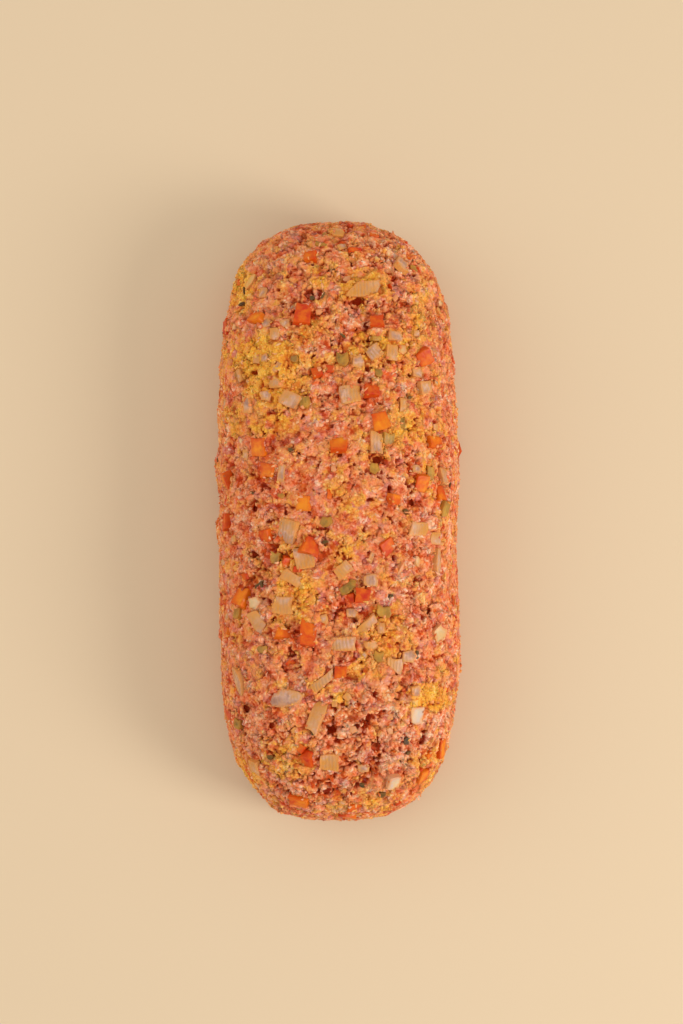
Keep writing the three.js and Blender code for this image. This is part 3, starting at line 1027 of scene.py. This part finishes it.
leanStops = (
    (0.0, (0.64, 0.115, 0.045)), (0.3, (0.79, 0.205, 0.080)), (0.6, (0.86, 0.300, 0.130)),
    (1.0, (0.92, 0.450, 0.250)),
)
crumbStops = (
    (0.0, (0.81, 0.28, 0.115)), (0.3, (0.85, 0.335, 0.074)), (0.7, (0.89, 0.40, 0.044)),
    (1.0, (0.93, 0.495, 0.082)),
)
shadeTint = (0.66, 0.235, 0.025)
# painted shade in holes, pits and creases
pitShadeRed = (0.42, 0.028, 0.002)
orangeMeat = (0.85, 0.31, 0.080)
lilacMeat = (0.62, 0.22, 0.185)
redMeat = (0.80, 0.13, 0.020)
# pale colours mixed onto the tops of grains: painted highlight, partly real pale fat and crumb
paleFatAndHighlight = (0.98, 0.70, 0.47)
paleCrumbAndHighlight = (0.96, 0.60, 0.20)
juice = (0.72, 0.24, 0.040)
soft = {"subsurface": 0.3, "radius": (1.0, 0.3, 0.12), "scale": 1.6 * mm}
meat = {
    "drift": (4.6, 2.5),      # size and detail of its slow changes
    "orange": (0.52, 0.85), "orangeMost": 0.65, "lilac": (0.12, 0.36), "lilacMost": 0.6,
    # values between which the painted shade between grains and the painted highlight on their tops come in
    "shade": (0.0, 0.5), "pale": (0.62, 1.05),
    "patchTone": 0.6, "crumbSwing": 1.5,
}


def swing(tree, value, gain):  # how far a noise lies from its middle, times the gain
    return calc(tree, "MULTIPLY_ADD", value, gain, -0.5 * gain)


def meatColor(tree, tone, hue):  # lean meat from deep to pale, some of it more orange and some more lilac
    color = ramp(tree, tone, leanStops)
    color = mix(tree, ease(tree, hue, *meat["orange"], 0.0, meat["orangeMost"]), color, orangeMeat)
    return mix(tree, ease(tree, hue, *meat["lilac"], meat["lilacMost"], 0.0), color, lilacMeat)


def shaded(tree, color, value, strength, pale, most=0.6):  # painted shade: warmer and darker between grains; painted highlight, partly pale fat: paler on top of them
    color = mix(tree, ease(tree, value, *meat["shade"], strength, 0.0), color, shadeTint, "MULTIPLY")
    return mix(tree, ease(tree, value, *meat["pale"], 0.0, most), color, pale)


def drift(tree, vector):  # slow changes of tone, hue and crumb colour
    color = noiseAt(tree, vector, *meat["drift"], output="Color")
    return addNode(tree, "ShaderNodeSeparateColor", {0: color}).outputs


def crumbColor(tree, slow, extra):  # yellow where the patches are, peach between them
    slow = swing(tree, slow, meat["crumbSwing"])
    tone = calc(tree, "MULTIPLY_ADD", attribute(tree, "crumb")["Fac"], meat["patchTone"], slow)
    return ramp(tree, calc(tree, "ADD", tone, extra), crumbStops)


minceLook = {
    "roughness": 0.42,
    "tone": 0.42, "toneSwing": 2.4, "looseTone": 0.45,
    "wide": (9.0, 3.0), "wideSwing": 1.0,                 # the widest changes of tone
    "hue": 0.48, "hueSwing": 2.6,
    "redPatch": 0.3, "redSize": 3.0, "redLimits": (0.56, 0.74), "redMost": 0.8,
    "crumbTone": 0.18,
    "shade": 0.56, "grainShade": 0.25, "round": (0.1, 0.6, 0.08, -0.14),
    "shades": ((0.9, 2.0, 1.15), (2.8, 1.0, 1.5), (6.0, 1.0, 1.6)),       # size, detail and gain of each
    "calmShade": (1.15, 0.65),            # contrast where the mince lies loose, and where it is smeared
    "meatShade": 0.9, "crumbShade": 0.62,
    # strength, width, share kept in crumb, size and limits of the painted shade in the lines between grains
    "seamShade": 0.45, "seamWidth": 0.2, "seamCrumb": 0.5, "seamSize": 2.8, "seamLimits": (0.44, 0.62),
    # relief depths over which the painted shade in holes comes in, and how far at most
    "deep": (-2.0, -0.5), "pitShadeMost": 0.9,
    "wetSize": 1.3, "wetLimits": (0.56, 0.7), "dull": 0.04, "shine": 0.6,
    "fineSize": 0.7, "fineRise": 0.8, "bump": (0.7, 0.8),
}


def leanColor(tree, rest, loose, slow):
    wide = swing(tree, noiseAt(tree, rest, *minceLook["wide"]), minceLook["wideSwing"])
    tone = calc(tree, "ADD", swing(tree, slow[0], minceLook["toneSwing"]), wide)
    tone = calc(tree, "MULTIPLY_ADD", loose, minceLook["looseTone"], tone)
    hue = calc(tree, "ADD", swing(tree, slow[1], minceLook["hueSwing"]), minceLook["hue"])
    lean = meatColor(tree, calc(tree, "ADD", tone, minceLook["tone"]), hue)
    red = noiseAt(tree, rest, minceLook["redSize"])
    red = calc(tree, "MULTIPLY_ADD", attribute(tree, "red")["Fac"], minceLook["redPatch"], red)
    return mix(tree, ease(tree, red, *minceLook["redLimits"], 0.0, minceLook["redMost"]), lean, redMeat)


def lightAndShade(tree, rest, loose, cells):  # about 0 in the shade between grains, 1 on top of them
    parts = addNode(tree, "ShaderNodeSeparateColor", {0: cells.outputs["Color"]}).outputs
    value = swing(tree, parts[0], minceLook["grainShade"])
    for size, detail, gain in minceLook["shades"]:
        value = calc(tree, "ADD", value, swing(tree, noiseAt(tree, rest, size, detail), gain))
    value = calc(tree, "ADD", value, ease(tree, cells.outputs["Distance"], *minceLook["round"]))
    contrast = ease(tree, stretches(tree, rest, loose, "calm"), 0.0, 1.0, *minceLook["calmShade"])
    return calc(tree, "MULTIPLY_ADD", value, contrast, minceLook["shade"])


def seams(tree, rest, share):  # painted shade: thin dark lines between grains, here and there
    edge = grainCells(tree, rest, "DISTANCE_TO_EDGE").outputs["Distance"]
    parted = ease(tree, noiseAt(tree, rest, minceLook["seamSize"]), *minceLook["seamLimits"])
    seamShade = ease(tree, edge, 0.0, minceLook["seamWidth"], minceLook["seamShade"], 0.0)
    seamShade = calc(tree, "MULTIPLY", seamShade, parted)
    return calc(tree, "MULTIPLY", seamShade, ease(tree, share, 0.0, 1.0, 1.0, minceLook["seamCrumb"]))


def minceMaterial():
    material, tree, shader = newMaterial("mince")
    rest = attribute(tree, "rest")["Vector"]
    loose = attribute(tree, "loose")["Fac"]
    cells = grainCells(tree, rest)
    slow = drift(tree, rest)
    share = crumbShare(tree, rest, attribute(tree, "crumb")["Fac"], loose)
    crumb = crumbColor(tree, slow[2], minceLook["crumbTone"])
    color = mix(tree, share, leanColor(tree, rest, loose, slow), crumb)
    strength = ease(tree, share, 0.0, 1.0, minceLook["meatShade"], minceLook["crumbShade"])
    # painted highlight on the tops of grains, partly pale fat and pale crumb
    pale = mix(tree, share, paleFatAndHighlight, paleCrumbAndHighlight)
    color = shaded(tree, color, lightAndShade(tree, rest, loose, cells), strength, pale)
    # painted shade in the lines between grains
    color = mix(tree, seams(tree, rest, share), color, shadeTint, "MULTIPLY")
    # painted shade: deep red where the relief sinks into holes, pits and creases
    sunk = ease(tree, attribute(tree, "deep")["Fac"], *minceLook["deep"], minceLook["pitShadeMost"], 0.0)
    color = mix(tree, sunk, color, pitShadeRed)
    tree.links.new(color, shader.inputs["Base Color"])
    setSockets(shader, roughness=minceLook["roughness"], **soft)
    wet = noiseAt(tree, rest, minceLook["wetSize"])
    wet = ease(tree, wet, *minceLook["wetLimits"], minceLook["dull"], minceLook["shine"])
    tree.links.new(wet, shader.inputs["Specular IOR Level"])
    rounded = calc(tree, "MULTIPLY", cells.outputs["Distance"], -1.0)
    fine = noiseAt(tree, rest, minceLook["fineSize"])
    bump(tree, shader, calc(tree, "MULTIPLY_ADD", fine, minceLook["fineRise"], rounded), *minceLook["bump"])
    return material


looks = {
    "onion": {
        "stops": (
            (0.0, (0.61, 0.24, 0.034)), (0.3, (0.62, 0.265, 0.060)), (0.55, (0.66, 0.32, 0.125)),
            (0.75, (0.68, 0.39, 0.27)), (0.9, (0.48, 0.25, 0.175)), (1.0, (0.36, 0.18, 0.13)),
        ),
        "roughness": 0.34, "mottled": 1.2, "slant": 0.55,
        "cloud": 0.7, "clear": 0.3, "cloudColor": (0.54, 0.30, 0.20),
        "streak": 0.9, "streakSize": 1.4, "streakColor": (0.50, 0.24, 0.10),
        "stain": 0.8, "rimColor": (0.68, 0.27, 0.055),
    },
    "carrot": {
        "stops": (
            (0.0, (0.80, 0.25, 0.006)), (0.3, (0.70, 0.130, 0.003)), (0.6, (0.61, 0.060, 0.003)),
            (1.0, (0.52, 0.026, 0.006)),
        ),
        "roughness": 0.4, "mottled": 1.0, "slant": 0.35,
        "cloud": 0.5, "clear": 1.0, "cloudColor": (0.80, 0.20, 0.006),
        "streak": 0.2, "streakSize": 2.0, "streakColor": (0.50, 0.05, 0.004),
        "stain": 0.5, "rimColor": (0.55, 0.05, 0.003),
    },
    "celery": {
        "stops": (
            (0.0, (0.58, 0.28, 0.040)), (0.4, (0.41, 0.190, 0.027)), (0.7, (0.26, 0.125, 0.022)),
            (1.0, (0.11, 0.065, 0.018)),
        ),
        "roughness": 0.36, "mottled": 1.4, "slant": 0.5,
        "cloud": 0.55, "clear": 1.0, "cloudColor": (0.50, 0.26, 0.050),
        "streak": 0.7, "streakSize": 1.5, "streakColor": (0.22, 0.16, 0.025),
        "stain": 0.7, "rimColor": (0.45, 0.18, 0.020),
    },
    "garlic": {
        "stops": (
            (0.0, (0.66, 0.355, 0.082)), (0.5, (0.61, 0.395, 0.20)), (0.75, (0.74, 0.52, 0.29)),
            (1.0, (0.58, 0.44, 0.345)),
        ),
        "roughness": 0.4, "mottled": 0.6, "slant": 0.3,
        "cloud": 0.4, "clear": 1.0, "cloudColor": (0.74, 0.42, 0.14),
        "streak": 0.1, "streakSize": 1.5, "streakColor": (0.70, 0.42, 0.15),
        "stain": 0.6, "rimColor": juice,
    },
    "fat": {
        "stops": ((0.0, (0.64, 0.18, 0.055)), (0.6, (0.66, 0.255, 0.105)), (1.0, (0.68, 0.32, 0.165))),
        "roughness": 0.36, "mottled": 0.6, "slant": 0.2,
        "cloud": 0.3, "clear": 1.0, "cloudColor": (0.74, 0.34, 0.16),
        "streak": 0.1, "streakSize": 1.5, "streakColor": (0.74, 0.34, 0.15),
        "stain": 0.4, "rimColor": juice,
    },
    "herb": {
        "stops": ((0.0, (0.12, 0.06, 0.010)), (0.5, (0.06, 0.045, 0.012)), (1.0, (0.022, 0.018, 0.012))),
        "roughness": 0.5, "mottled": 0.5, "slant": 0.3,
        "cloud": 0.3, "clear": 1.0, "cloudColor": (0.12, 0.07, 0.02),
        "streak": 0.1, "streakSize": 1.5, "streakColor": (0.10, 0.08, 0.02),
        "stain": 0.1, "rimColor": juice,
    },
}

cutSockets = {**soft, "subsurface": 0.2, "scale": 2.0 * mm, "specular": 0.2}
cutLook = {
    "mottle": (2.8, 3.0),     # size and detail
    "cloudSize": 2.6, "cloudLimits": (0.34, 0.68),
    "clearLimits": (0.2, 0.6),            # tints between which a cut turns from clear to cloudy
    "wanderSize": 6.0, "wander": 4.0,     # how the lines of growth wander
    "linePatch": 3.0, "lineLimits": (0.36, 0.56),
    "rim": 0.6, "stainSize": 2.4, "stainLimits": (0.5, 1.15),
    "roughSize": 0.9, "rough": 0.14,
}


def growthLines(tree, place, size):  # the lines that run along a cut, from 0 to 1
    across = addNode(tree, "ShaderNodeSeparateXYZ", {0: attribute(tree, "local")["Vector"]}).outputs["X"]
    phase = calc(tree, "MULTIPLY", across, 2 * math.pi / size)
    wander = noiseAt(tree, place, cutLook["wanderSize"], 1.0)
    phase = calc(tree, "MULTIPLY_ADD", wander, cutLook["wander"], phase)
    lines = calc(tree, "MULTIPLY_ADD", calc(tree, "SINE", phase), 0.5, 0.5)
    return calc(tree, "MULTIPLY", lines, attribute(tree, "ribbed")["Fac"])


def diceMaterial(name):
    look = looks[name]
    material, tree, shader = newMaterial(name)
    place = addNode(tree, "ShaderNodeTexCoord").outputs["Object"]
    slant, tint = attribute(tree, "slant")["Fac"], attribute(tree, "tint")["Fac"]
    tint = calc(tree, "MULTIPLY_ADD", slant, look["slant"], tint)
    mottle = swing(tree, noiseAt(tree, place, *cutLook["mottle"]), look["mottled"])
    color = ramp(tree, calc(tree, "ADD", tint, mottle), look["stops"])
    cloud = noiseAt(tree, place, cutLook["cloudSize"])
    cloud = ease(tree, cloud, *cutLook["cloudLimits"], 0.0, look["cloud"])
    cloud = calc(tree, "MULTIPLY", cloud, ease(tree, tint, *cutLook["clearLimits"], look["clear"], 1.0))
    color = mix(tree, cloud, color, look["cloudColor"])
    lines = growthLines(tree, place, look["streakSize"])
    here = noiseAt(tree, place, cutLook["linePatch"], 1.0)
    here = ease(tree, here, *cutLook["lineLimits"], 0.0, look["streak"])
    color = mix(tree, calc(tree, "MULTIPLY", lines, here), color, look["streakColor"])
    wet = noiseAt(tree, place, cutLook["stainSize"])
    wet = calc(tree, "MULTIPLY_ADD", attribute(tree, "rim")["Fac"], cutLook["rim"], wet)
    stain = ease(tree, wet, *cutLook["stainLimits"], 0.0, look["stain"])
    color = mix(tree, stain, color, look["rimColor"])
    tree.links.new(color, shader.inputs["Base Color"])
    setSockets(shader, roughness=look["roughness"], **cutSockets)
    rough = noiseAt(tree, place, cutLook["roughSize"])
    bump(tree, shader, calc(tree, "MULTIPLY_ADD", lines, -look["streak"], rough), cutLook["rough"])
    return material


finishPiece(minceBody, minceMaterial(), "meat")
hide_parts("loaf")
for kind, obj in diceObjects.items():
    finishPiece(obj, diceMaterial(kind), kind)
print("materials")


# loose grains, pressed into the surface

grainLook = {
    "uneven": 0.3, "variants": 6,
    "roughSize": 0.5, "rough": 0.1, "specular": 0.1,
    "toneSwing": 1.8, "hue": 0.5, "hueSwing": 2.4, "paleMost": 0.35,
    "shuffle": 7.3,           # makes a grain's shade independent of its tone
    "dice": (-0.6, 0.1), "holes": (-1.6, -0.4), "foot": (0.9 * mm, 1.6 * mm),     # what they keep off
}

# bread and loose: how many more of them lie in crumb and in loose mince, low and high: where patches end
grains = {
    "leanGrains": {
        "size": (1.6, 2.2, 1.3), "scale": (0.5, 1.25), "apart": 1.1, "density": 0.3, "patch": 8.0,
        "bread": -0.5, "loose": 0.1, "low": 0.4, "high": 0.62, "least": 0.1,
        "tip": 0.6, "lift": -0.25, "seed": 11,
        "like": "lean", "slot": "meat", "roughness": 0.42, "tone": 0.35, "spread": 0.3, "shade": 0.6,
    },
    "meatStrands": {
        "size": (1.1, 3.8, 1.1), "scale": (0.6, 1.15), "apart": 2.2, "density": 0.08, "patch": 12.0,
        "bread": -0.2, "loose": 0.2, "low": 0.4, "high": 0.62, "least": 0.1,
        "tip": 0.3, "lift": -0.25, "seed": 23,
        "like": "lean", "slot": "meat", "roughness": 0.4, "tone": 0.4, "spread": 0.3, "shade": 0.6,
    },
    "crumbGrains": {
        "size": (1.4, 1.7, 1.3), "scale": (0.45, 1.2), "apart": 0.9, "density": 0.45, "patch": 6.0,
        "bread": 0.5, "loose": -0.1, "low": 0.7, "high": 1.0, "least": 0.0,
        "tip": 0.9, "lift": -0.25, "seed": 37,
        "like": "crumb", "slot": "crumb", "roughness": 0.6, "tone": 0.08, "spread": 0.25, "shade": 0.4,
    },
    "fatGrains": {
        "size": (0.9, 1.4, 0.9), "scale": (0.6, 1.3), "apart": 2.0, "density": 0.03, "patch": 8.0,
        "bread": -0.3, "loose": 0.1, "low": 0.4, "high": 0.62, "least": 0.0,
        "tip": 0.7, "lift": -0.35, "seed": 53,
        "like": "fat", "slot": "fat", "roughness": 0.42, "tone": 0.0, "spread": 0.8, "shade": 0.6,
    },
}


def grainVariants(name, size, seed):  # size is across, along and up, in millimetres
    deal = random.Random(seed)
    collection = bpy.data.collections.new(name)
    bpy.context.scene.collection.children.link(collection)
    for k in range(grainLook["variants"]):
        deselectAll()
        bpy.ops.mesh.primitive_ico_sphere_add(subdivisions=1, radius=0.5)
        obj = bpy.context.object
        obj.name = name + str(k)
        for vertex in obj.data.vertices:
            push = 1 + grainLook["uneven"] * deal.uniform(-1, 1)
            vertex.co = Vector([c * s * push * mm for c, s in zip(vertex.co, size)])
        bpy.ops.object.shade_smooth()
        for home in list(obj.users_collection):
            home.objects.unlink(obj)
        collection.objects.link(obj)
    return collection


def randomIn(tree, low, high, seed):  # a vector for each grain
    inputs = {0: low, 1: high, "Seed": seed}
    return addNode(tree, "FunctionNodeRandomValue", inputs, data_type="FLOAT_VECTOR").outputs[0]


def grainShare(tree, spec):  # where grains lie: in patches, not on dice, in holes or at the foot
    position = addNode(tree, "GeometryNodeInputPosition").outputs[0]
    share = noiseAt(tree, position, spec["patch"])
    share = calc(tree, "MULTIPLY_ADD", attributeAt(tree, "bread"), spec["bread"], share)
    share = calc(tree, "MULTIPLY_ADD", attributeAt(tree, "loose"), spec["loose"], share)
    share = ease(tree, share, spec["low"], spec["high"], spec["least"], 1.0)
    share = calc(tree, "MULTIPLY", share, ease(tree, attributeAt(tree, "die"), *grainLook["dice"]))
    share = calc(tree, "MULTIPLY", share, ease(tree, attributeAt(tree, "deep"), *grainLook["holes"]))
    return calc(tree, "MULTIPLY", share, ease(tree, heightOf(tree, position), *grainLook["foot"]))


def scatterTree(name, collection, spec):
    tree, source, sink = geometryTree(name)
    join = tree.nodes.new("GeometryNodeJoinGeometry")
    for obj in (minceBody, *diceObjects.values()):
        part = addNode(tree, "GeometryNodeObjectInfo", {"Object": obj}).outputs["Geometry"]
        tree.links.new(part, join.inputs[0])
    seed = spec["seed"]
    spread = addNode(tree, "GeometryNodeDistributePointsOnFaces", {
        "Mesh": join.outputs[0], "Distance Min": spec["apart"] * mm, "Density Max": spec["density"] * 1e6,
        "Density Factor": grainShare(tree, spec), "Seed": seed,
    }, distribute_method="POISSON")
    variants = addNode(tree, "GeometryNodeCollectionInfo", {
        "Collection": collection, "Separate Children": True, "Reset Children": True,
    }).outputs[0]
    low, high = spec["scale"]
    strewn = addNode(tree, "GeometryNodeInstanceOnPoints", {
        "Points": spread.outputs["Points"], "Instance": variants, "Pick Instance": True,
        "Rotation": spread.outputs["Rotation"], "Scale": randomIn(tree, (low,) * 3, (high,) * 3, seed + 1),
    }).outputs[0]
    tip = spec["tip"]
    turn = randomIn(tree, (-tip, -tip, -math.pi), (tip, tip, math.pi), seed + 2)
    strewn = addNode(tree, "GeometryNodeRotateInstances", {"Instances": strewn, "Rotation": turn}).outputs[0]
    strewn = addNode(tree, "GeometryNodeTranslateInstances", {
        "Instances": strewn, "Translation": (0, 0, spec["lift"] * mm),
    }).outputs[0]
    tone = addNode(tree, "FunctionNodeRandomValue", {2: 0.0, 3: 1.0, "Seed": seed + 3}, data_type="FLOAT")
    strewn = store(tree, strewn, "tint", tone.outputs[1], domain="INSTANCE")
    tree.links.new(addNode(tree, "GeometryNodeRealizeInstances", {0: strewn}).outputs[0], sink)
    return tree


def grainColor(tree, place, tint, spec):
    slow = drift(tree, place)
    if spec["like"] == "crumb":
        return crumbColor(tree, slow[2], calc(tree, "MULTIPLY_ADD", tint, spec["spread"], spec["tone"]))
    tone = calc(tree, "ADD", swing(tree, slow[0], grainLook["toneSwing"]), spec["tone"])
    tone = calc(tree, "MULTIPLY_ADD", tint, spec["spread"], tone)
    if spec["like"] == "fat":
        return ramp(tree, tone, looks["fat"]["stops"])
    hue = calc(tree, "ADD", swing(tree, slow[1], grainLook["hueSwing"]), grainLook["hue"])
    color = meatColor(tree, tone, hue)
    return mix(tree, attribute(tree, "bread")["Fac"], color, orangeMeat)


def grainMaterial(name, spec):
    material, tree, shader = newMaterial(name)
    place = addNode(tree, "ShaderNodeTexCoord").outputs["Object"]
    tint = attribute(tree, "tint")["Fac"]
    value = calc(tree, "FRACT", calc(tree, "MULTIPLY", tint, grainLook["shuffle"]))
    pale = paleCrumbAndHighlight if spec["like"] == "crumb" else paleFatAndHighlight
    color = grainColor(tree, place, tint, spec)
    color = shaded(tree, color, value, spec["shade"], pale, grainLook["paleMost"])
    tree.links.new(color, shader.inputs["Base Color"])
    setSockets(shader, roughness=spec["roughness"], specular=grainLook["specular"], **soft)
    bump(tree, shader, noiseAt(tree, place, grainLook["roughSize"]), grainLook["rough"])
    return material


def scatter(name, spec):
    collection = grainVariants(name + "Kinds", spec["size"], spec["seed"])
    obj = bpy.data.objects.new(name, bpy.data.meshes.new(name))
    bpy.context.scene.collection.objects.link(obj)
    addModifier(obj, "NODES", node_group=scatterTree(name, collection, spec))
    applyAll(obj)
    for part in list(collection.objects):
        bpy.data.objects.remove(part)
    bpy.data.collections.remove(collection)
    finishPiece(obj, grainMaterial(name, spec), spec["slot"])
    print(name, sum(len(face.vertices) - 2 for face in obj.data.polygons))


for name, spec in grains.items():
    scatter(name, spec)

for shape in cutShapes.values():
    bpy.data.objects.remove(shape)
